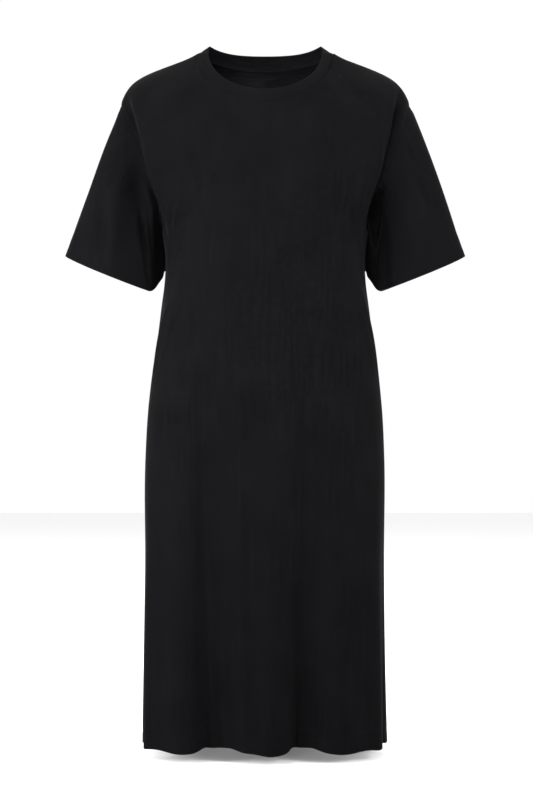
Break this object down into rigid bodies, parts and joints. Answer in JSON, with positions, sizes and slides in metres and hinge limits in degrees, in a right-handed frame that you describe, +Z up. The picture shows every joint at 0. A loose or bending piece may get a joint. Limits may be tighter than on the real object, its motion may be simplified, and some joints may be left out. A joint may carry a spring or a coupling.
{
  "type": "short-sleeved shift dress",
  "caption": "Crew-neck, short-sleeved, midi-length jersey shift dress in its hollow worn form, with open neck, cuffs and hem.",
  "frame": {"origin": "midway between the two high shoulder points, where the neck band meets the shoulder seams and the wearer's shoulders carry the dress", "axes": "+X to the sleeve on the right of the picture, -Y out of the dress's front, +Z up"},
  "size_m": [0.632, 0.232, 1.1032],
  "materials": {
    "jersey_front": "matt black cotton jersey",
    "jersey_back": "matt black cotton jersey",
    "jersey_right": "matt black cotton jersey",
    "jersey_left": "matt black cotton jersey",
    "jersey_band": "matt black rib, folded double"
  },
  "bodies": {
    "root": {"front_panel": "jersey_front", "back_panel": "jersey_back", "sleeve_right": "jersey_right", "sleeve_left": "jersey_left", "neck_band": "jersey_band"}
  },
  "joints": []
}
